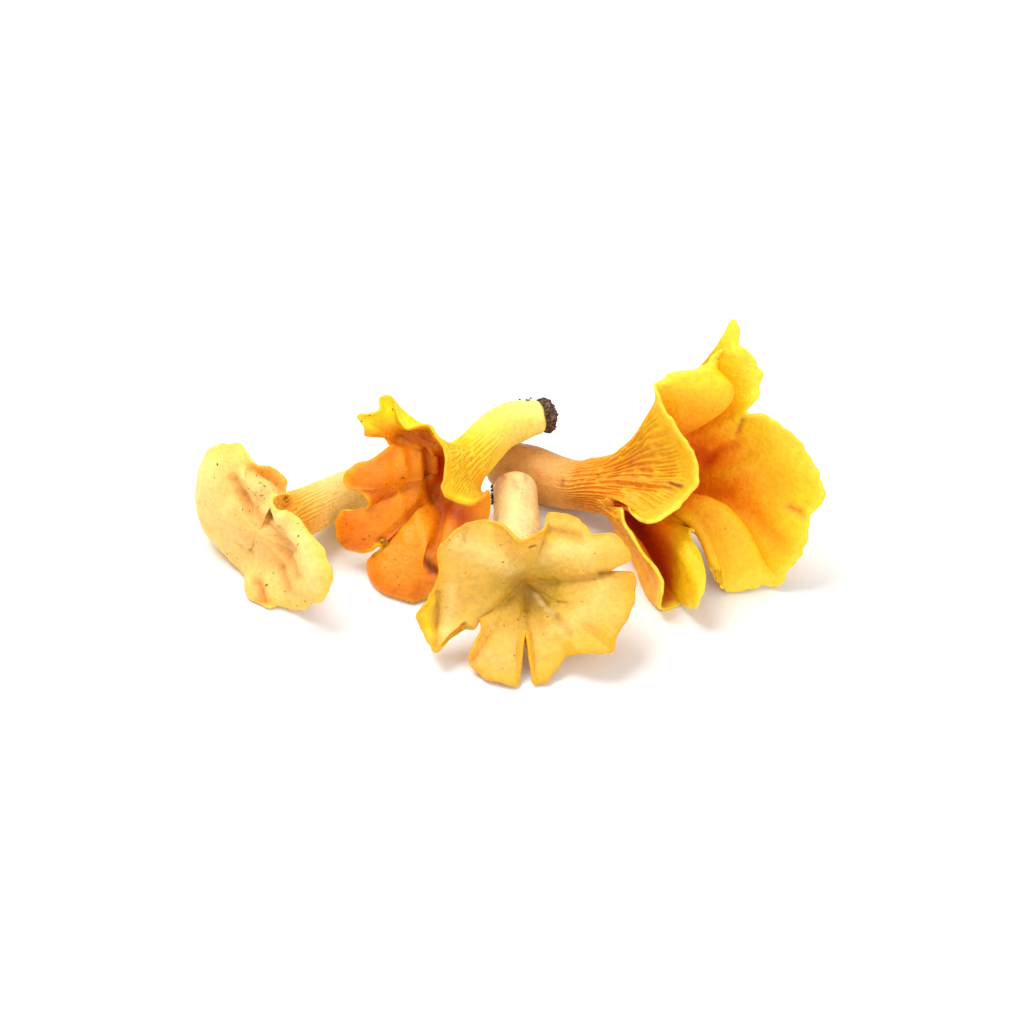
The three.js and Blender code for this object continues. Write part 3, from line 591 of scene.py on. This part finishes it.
    def sculpted(self, points, through):
        """How far creases and lumps push the cap towards its upper side, and the tint and painted shade of
        each point.
        """
        seen = points - HEAP_SHIFT
        up = seen[:, 1] * math.sin(VIEW_TILT) + seen[:, 2] * math.cos(VIEW_TILT)
        flat = np.column_stack([seen[:, 0], up]) / MM
        push = self.spec["lumps"] * self.noise(points, LUMP_CELL)
        tint_and_shade = np.zeros((len(points), 4))
        for path, height, width, share, colour, side in self.strokes:
            near = np.full(len(points), 1e9)
            for a, b in zip(np.array(path[:-1], float), np.array(path[1:], float)):
                reached = np.clip((flat - a) @ (b - a) / ((b - a) @ (b - a)), 0, 1)
                near = np.minimum(near, np.linalg.norm(flat - a - reached[:, None] * (b - a), axis=1))
            strength = np.exp(-(near / width) ** 2)
            push = push + height * strength
            if side in ("both", "upper" if through > 0.5 else "under"):
                tint_and_shade = mix(tint_and_shade, np.array([*srgb(*TINTS_AND_SHADES[colour]), 1]), share * strength[:, None])
        return push * MM, tint_and_shade

    def roughened(self, points, normal, size, cell):
        """Points pushed in and out a little by lumps of two sizes."""
        rough = 0.5 * self.noise(points, cell * MM) + 0.2 * self.noise(points, cell * MM / 3)
        return points + normal * (size * MM * rough)[:, None]

    def throat(self, ring, before):
        """Rings that close the upper side over the stem."""
        axis = self.neck[1]
        crown = ring.mean(0) + axis * self.lift
        inward = unit(ring - before)
        out = ring - crown
        flat = out - (out @ axis)[:, None] * axis
        reach = np.linalg.norm(out, axis=1)[:, None] / 3
        a = ring + inward * reach
        b = crown + flat * 0.4
        rings = []
        ones = np.ones(COLUMNS)
        none = np.zeros(COLUMNS)
        normal = self.slopes(np.arange(COLUMNS) / COLUMNS, self.spec["fill"] * ones)[0]
        spread = smoothstep(SCULPT_START, SCULPT_FULL, self.spec["fill"])
        for i in range(1, THROAT_RINGS):
            t = i / THROAT_RINGS
            s = 1 - t
            points = s ** 3 * ring + 3 * s * s * t * a + 3 * s * t * t * b + t ** 3 * crown
            push, tint_and_shade = self.sculpted(points, 1)
            points = points + unit(mix(-normal, axis, t)) * (push * spread)[:, None]
            rings.append((points, (1 + self.spec["fill"] * s) * ones, ones, none, tint_and_shade))
        self.crown = crown + axis * self.sculpted(crown[None], 1)[0][0] * spread
        return rings

    def build(self, name):
        rings = self.rows()
        centre, axis, _, _, radius = self.frames[0]
        points = [centre - axis * self.spec["bulge"] * radius] + [r[0] for r in rings] + [self.crown]
        points = np.vstack(points)
        upper = np.concatenate([[0]] + [r[2] for r in rings] + [[1]])
        points[:, 2] = np.maximum(points[:, 2], upper * THICK_AT_RIM)
        ends = {"along": (0, 1), "upper": (0, 1), "crest": (0, 0)}
        faces = []
        n = COLUMNS
        k = np.arange(n)
        after = (k + 1) % n
        last = len(points) - 1
        faces += np.column_stack([0 * k, 1 + after, 1 + k]).tolist()
        for r in range(len(rings) - 1):
            a = 1 + r * n
            faces += np.column_stack([a + k, a + after, a + n + after, a + n + k]).tolist()
        a = last - n
        faces += np.column_stack([a + k, a + after, last + 0 * k]).tolist()
        mesh = bpy.data.meshes.new(name)
        mesh.from_pydata(points.tolist(), [], faces)
        mesh.polygons.foreach_set("use_smooth", [True] * len(mesh.polygons))
        for place, (word, (first, end)) in enumerate(ends.items(), start=1):
            values = np.concatenate([[first]] + [r[place] for r in rings] + [[end]])
            mesh.attributes.new(word, "FLOAT", "POINT").data.foreach_set("value", values.astype(np.float32))
        # The strokes' tints and painted shade, as a colour and its share
        tints_and_shades = np.vstack([rings[0][4][:1]] + [r[4] for r in rings] + [rings[-1][4].mean(0)[None]])
        colours = tints_and_shades[:, :3] / np.maximum(tints_and_shades[:, 3:], 1e-6)
        tint_and_shade = mesh.attributes.new("tint_and_shade", "FLOAT_VECTOR", "POINT")
        tint_and_shade.data.foreach_set("vector", colours.astype(np.float32).ravel())
        share = mesh.attributes.new("tint_and_shade_share", "FLOAT", "POINT")
        share.data.foreach_set("value", tints_and_shades[:, 3].astype(np.float32))
        piece = bpy.data.objects.new(name, mesh)
        bpy.context.scene.collection.objects.link(piece)
        return piece


def plain_material(name, colour, roughness):
    material = bpy.data.materials.new(name)
    material.use_nodes = True
    shader = material.node_tree.nodes["Principled BSDF"]
    shader.inputs["Base Color"].default_value = (*colour, 1)
    shader.inputs["Roughness"].default_value = roughness
    return material


class Shader:
    """Short ways to add and join the nodes of one material."""

    def __init__(self, name):
        self.material = bpy.data.materials.new(name)
        self.material.use_nodes = True
        self.nodes = self.material.node_tree.nodes
        self.links = self.material.node_tree.links
        self.surface = self.nodes["Principled BSDF"]
        self.place = self.nodes.new("ShaderNodeTexCoord").outputs["Object"]
        split = self.nodes.new("ShaderNodeSeparateXYZ")
        self.links.new(self.place, split.inputs[0])
        self.height = split.outputs["Z"]

    def feed(self, socket, value):
        if isinstance(value, bpy.types.NodeSocket):
            self.links.new(value, socket)
        elif isinstance(value, tuple):
            socket.default_value = (*value, 1)
        else:
            socket.default_value = value

    def attribute(self, name, output="Fac"):
        node = self.nodes.new("ShaderNodeAttribute")
        node.attribute_name = name
        return node.outputs[output]

    def noise(self, size, detail=3, roughness=0.55):
        """Noise with features of about size metres."""
        node = self.nodes.new("ShaderNodeTexNoise")
        self.links.new(self.place, node.inputs["Vector"])
        node.inputs["Scale"].default_value = 1 / size
        node.inputs["Detail"].default_value = detail
        node.inputs["Roughness"].default_value = roughness
        return node.outputs["Fac"]

    def maths(self, operation, a, b):
        node = self.nodes.new("ShaderNodeMath")
        node.operation = operation
        self.feed(node.inputs[0], a)
        self.feed(node.inputs[1], b)
        return node.outputs[0]

    def span(self, value, low, high, new_low=0.0, new_high=1.0):
        node = self.nodes.new("ShaderNodeMapRange")
        node.interpolation_type = "SMOOTHSTEP"
        for socket, number in zip(node.inputs, (value, low, high, new_low, new_high)):
            self.feed(socket, number)
        return node.outputs[0]

    def ramp(self, value, stops):
        node = self.nodes.new("ShaderNodeValToRGB")
        elements = node.color_ramp.elements
        while len(elements) < len(stops):
            elements.new(1)
        for element, (place, colour) in zip(elements, stops):
            element.position = place
            element.color = (*colour, 1)
        self.feed(node.inputs["Fac"], value)
        return node.outputs["Color"]

    def mix(self, share, a, b, blend="MIX"):
        node = self.nodes.new("ShaderNodeMix")
        node.data_type = "RGBA"
        node.blend_type = blend
        self.feed(node.inputs["Factor"], share)
        self.feed(node.inputs[6], a)
        self.feed(node.inputs[7], b)
        return node.outputs[2]

    def bump(self, height, depth):
        node = self.nodes.new("ShaderNodeBump")
        self.feed(node.inputs["Height"], height)
        node.inputs["Distance"].default_value = depth
        self.links.new(node.outputs["Normal"], self.surface.inputs["Normal"])


def flesh_material(name, look):
    s = Shader(name)
    along = s.attribute("along")
    upper = s.attribute("upper")
    crest = s.attribute("crest")
    half = s.maths("MULTIPLY", along, 0.5)
    below = s.ramp(half, [(p / 2, srgb(*c)) for p, c in look["below"]])
    above = s.ramp(half, [(p / 2, srgb(*c)) for p, c in look["above"]])
    patch = s.span(s.noise(9 * MM, 2), 0.42, 0.62)
    above = s.mix(s.maths("MULTIPLY", patch, look["patches"]), above, srgb(*look["patch"]))
    stem_patch = s.span(s.noise(6 * MM, 3), 0.45, 0.7)
    below = s.mix(s.maths("MULTIPLY", stem_patch, 0.35), below, srgb(*look["stain"]))
    # Painted shade: the valleys between the gill ridges are darkened towards the valley colour, on the gills
    # but not at the rim
    valley = s.span(crest, 0.0, 0.6, look["valley"], 0.0)
    on_gills = s.maths("MULTIPLY", valley, s.span(along, 0.75, 1.05))
    off_rim = s.maths("MULTIPLY", on_gills, s.span(along, 1.8, 1.95, 1, 0))
    below = s.mix(off_rim, below, srgb(*look["valley_shade_colour"]))
    colour = s.mix(upper, below, above)
    low, high = look["high_from"]
    tall = s.span(s.height, low * MM, high * MM, 0.0, look["high_share"])
    colour = s.mix(tall, colour, srgb(*look["high"]))
    # The tints of the flesh, with the painted shade and highlight, that the strokes lay over it
    colour = s.mix(s.attribute("tint_and_shade_share"), colour, s.attribute("tint_and_shade", "Color"))
    rim = s.maths("MULTIPLY", s.span(along, 1.93, 2.0), look["rim_share"])
    colour = s.mix(rim, colour, srgb(*look["rim"]))
    mottle = s.span(s.noise(1.6 * MM, 4), 0.3, 0.7, 0.9, 1.06)
    colour = s.mix(1.0, colour, mottle, "MULTIPLY")
    speck = s.span(s.noise(1.1 * MM, 1), look["speck_from"], look["speck_from"] + SPECK_EDGE)
    speck = s.maths("MULTIPLY", speck, s.span(s.noise(14 * MM, 1), 0.45, 0.6))
    colour = s.mix(s.maths("MULTIPLY", speck, look["specks"]), colour, srgb(92, 48, 18))
    s.feed(s.surface.inputs["Base Color"], colour)
    s.surface.inputs["Roughness"].default_value = 0.5
    s.surface.inputs["Specular IOR Level"].default_value = 0.35
    s.surface.inputs["Subsurface Weight"].default_value = 0.25
    s.surface.inputs["Subsurface Radius"].default_value = (1.0, 0.45, 0.12)
    s.surface.inputs["Subsurface Scale"].default_value = 2 * MM
    fine = s.maths("ADD", s.noise(0.8 * MM, 4, 0.6), s.maths("MULTIPLY", s.noise(3 * MM, 3), 2.0))
    s.bump(fine, 0.25 * MM)
    return s.material


# Colours of the flesh, from 0 to 255. below and above are those of the gilled side and the upper side, at
# places from 0 at the stem's foot by 1 at the neck to 2 at the margin. patches, valley, rim_share, specks and
# high_share are how strong each change is; valley is painted shade that darkens the valleys between the gill
# ridges towards the valley colour. speck_from is higher where specks are fewer. high_from is the range
# of heights, in millimetres, over which the colour called high comes in.
LOOKS = {
    "large_chanterelle": {
        "below": [(0.0, (205, 150, 85)), (0.6, (222, 160, 75)), (0.95, (238, 165, 48)), (1.3, (250, 172, 28)),
                  (2.0, (255, 190, 12))],
        "above": [(1.0, (220, 70, 2)), (1.3, (240, 100, 2)), (1.6, (253, 150, 2)), (1.85, (254, 185, 8)),
                  (2.0, (255, 208, 25))],
        "patches": 0.25, "patch": (255, 205, 20), "stain": (205, 130, 60), "valley": 0.4,
        "valley_shade_colour": (232, 125, 12), "rim": (255, 222, 60), "rim_share": 0.8,
        "specks": 0.5, "speck_from": 0.74, "high_from": (25, 60), "high": (255, 205, 10), "high_share": 0.45,
    },
    "ruffled_chanterelle": {
        "below": [(0.0, (255, 240, 130)), (0.5, (252, 226, 100)), (0.9, (252, 210, 45)),
                  (1.3, (253, 205, 15)), (2.0, (253, 205, 8))],
        "above": [(1.0, (215, 105, 6)), (1.35, (240, 148, 6)), (1.7, (246, 150, 3)), (1.9, (240, 132, 3)),
                  (2.0, (248, 165, 10))],
        "patches": 0.5, "patch": (234, 124, 3), "stain": (250, 215, 60), "valley": 0.5,
        "valley_shade_colour": (240, 160, 8), "rim": (250, 170, 15), "rim_share": 0.5,
        "specks": 0.9, "speck_from": 0.71, "high_from": (36, 43), "high": (255, 222, 10), "high_share": 0.95,
    },
    "front_chanterelle": {
        "below": [(0.0, (250, 210, 140)), (0.6, (252, 222, 150)), (0.95, (250, 205, 90)),
                  (1.4, (252, 190, 30)), (2.0, (253, 195, 20))],
        "above": [(1.0, (190, 145, 30)), (1.3, (212, 168, 50)), (1.6, (235, 186, 78)), (1.9, (240, 185, 70)),
                  (2.0, (244, 180, 50))],
        "patches": 0.4, "patch": (222, 165, 45), "stain": (240, 180, 110), "valley": 0.5,
        "valley_shade_colour": (235, 150, 20), "rim": (235, 165, 30), "rim_share": 0.6,
        "specks": 0.8, "speck_from": 0.71, "high_from": (26, 38), "high": (240, 205, 100), "high_share": 0.3,
    },
    "left_chanterelle": {
        "below": [(0.0, (245, 215, 140)), (0.6, (246, 208, 120)), (0.95, (246, 185, 55)),
                  (1.3, (248, 172, 30)), (2.0, (250, 190, 50))],
        "above": [(1.0, (246, 190, 100)), (1.4, (250, 205, 115)), (1.8, (252, 212, 110)),
                  (1.95, (252, 205, 80)), (2.0, (252, 200, 70))],
        "patches": 0.4, "patch": (246, 180, 85), "stain": (240, 175, 70), "valley": 0.5,
        "valley_shade_colour": (232, 145, 25), "rim": (252, 205, 80), "rim_share": 0.7,
        "specks": 0.9, "speck_from": 0.69, "high_from": (20, 34), "high": (252, 215, 110), "high_share": 0.3,
    },
}

for node, spec in MUSHROOMS.items():
    mushroom = Mushroom(spec, STROKES[node]).build(node + "_looks")
    mushroom.data.materials.append(flesh_material(node + "_flesh", LOOKS[node]))
    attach(mushroom, "root")
    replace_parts(mushroom, node)


def grains(spots, rng, smallest, largest):
    """The corners and faces of grains of soil, one at each spot."""
    corners = np.vstack([np.eye(3), -np.eye(3)])
    sides = [(0, 1, 2), (1, 3, 2), (3, 4, 2), (4, 0, 2), (1, 0, 5), (3, 1, 5), (4, 3, 5), (0, 4, 5)]
    vertices = []
    faces = []
    for spot in spots:
        turned = np.linalg.qr(rng.normal(size=(3, 3)))[0]
        turned[:, 0] *= np.sign(np.linalg.det(turned))
        start = len(vertices)
        size = rng.uniform(smallest, largest) * MM
        vertices += ((corners * rng.uniform(0.6, 1.2, (6, 1)) * size) @ turned.T + spot).tolist()
        faces += [[start + c for c in side] for side in sides]
    return vertices, faces


def soil_piece(name, vertices, faces):
    mesh = bpy.data.meshes.new(name)
    mesh.from_pydata(vertices, [], faces)
    piece = bpy.data.objects.new(name, mesh)
    bpy.context.scene.collection.objects.link(piece)
    mesh.materials.append(soil_material())
    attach(piece, "root")
    return piece


def soil_lump():
    """The part's own lump of soil under grains of many sizes."""
    lump = frame["nodes"]["soil_clump"].data
    points = np.array([v.co for v in lump.vertices])
    faces = [list(p.vertices) for p in lump.polygons]
    rng = np.random.default_rng(5)
    spots = []
    for _ in range(LUMP_GRAINS):
        shares = rng.dirichlet(np.ones(3))
        face = faces[rng.integers(len(faces))]
        spots.append(shares @ points[face[:3]])
    vertices, sides = grains(spots, rng, 0.2, 0.75)
    sides = [[len(points) + c for c in side] for side in sides]
    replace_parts(soil_piece("soil_looks", points.tolist() + vertices, faces + sides), "soil_clump")


def loose_soil():
    """Grains that cling to the stem beside the lump, and a dark thread of them on the front stem."""
    rng = np.random.default_rng(6)
    spread = np.array([0.9, 0.6, 0.5])
    beside = [at(4.6, 47.7, 28.2) + rng.normal(size=3) * spread * MM for _ in range(STEM_GRAINS)]
    ups = np.linspace(16.5, 22.4, THREAD_GRAINS)
    thread = [at(-5.9, up, 12.5) + rng.normal(size=3) * 0.3 * MM for up in ups]
    soil_piece("loose_soil", *grains(beside + thread, rng, 0.2, 0.55))


def soil_material():
    s = Shader("soil")
    stops = [(0.3, srgb(38, 24, 18)), (0.5, srgb(78, 55, 42)), (0.68, srgb(150, 118, 95))]
    s.feed(s.surface.inputs["Base Color"], s.ramp(s.noise(0.9 * MM, 2, 0.7), stops))
    s.surface.inputs["Roughness"].default_value = 0.9
    s.bump(s.noise(0.4 * MM, 3), 0.2 * MM)
    return s.material


soil_lump()
loose_soil()


def add_floor():
    mesh = bpy.data.meshes.new("floor")
    corners = [(x * FLOOR_HALF, y * FLOOR_HALF, 0) for x, y in ((-1, -1), (1, -1), (1, 1), (-1, 1))]
    mesh.from_pydata(corners, [], [(0, 1, 2, 3)])
    floor = bpy.data.objects.new("floor", mesh)
    mesh.materials.append(plain_material("floor", (0.9, 0.9, 0.9), 0.7))
    bpy.context.scene.collection.objects.link(floor)


def add_light(name, place, size, power):
    light = bpy.data.lights.new(name, "AREA")
    light.shape = "DISK"
    light.size = size
    light.energy = power
    lamp = bpy.data.objects.new(name, light)
    lamp.location = place
    lamp.rotation_euler = (Vector(LIGHT_TARGET) - Vector(place)).to_track_quat("-Z", "Y").to_euler()
    bpy.context.scene.collection.objects.link(lamp)


def add_camera():
    camera = bpy.data.cameras.new("camera")
    camera.lens = LENS
    camera.sensor_width = SENSOR
    target = Vector(HEAP_SHIFT) + Vector((0, 0, VIEW_HEIGHT))
    back = Vector((0, -math.cos(VIEW_TILT), math.sin(VIEW_TILT)))
    viewer = bpy.data.objects.new("camera", camera)
    viewer.location = target + back * CAMERA_DISTANCE
    viewer.rotation_euler = (-back).to_track_quat("-Z", "Y").to_euler()
    bpy.context.scene.collection.objects.link(viewer)
    bpy.context.scene.camera = viewer


add_floor()
add_light("key", **KEY_LIGHT)
add_light("fill", **FILL_LIGHT)
add_camera()
world = bpy.data.worlds.new("studio")
world.use_nodes = True
world.node_tree.nodes["Background"].inputs["Color"].default_value = (1, 1, 1, 1)
world.node_tree.nodes["Background"].inputs["Strength"].default_value = SKY_STRENGTH
bpy.context.scene.world = world
bpy.context.scene.view_settings.view_transform = "Standard"
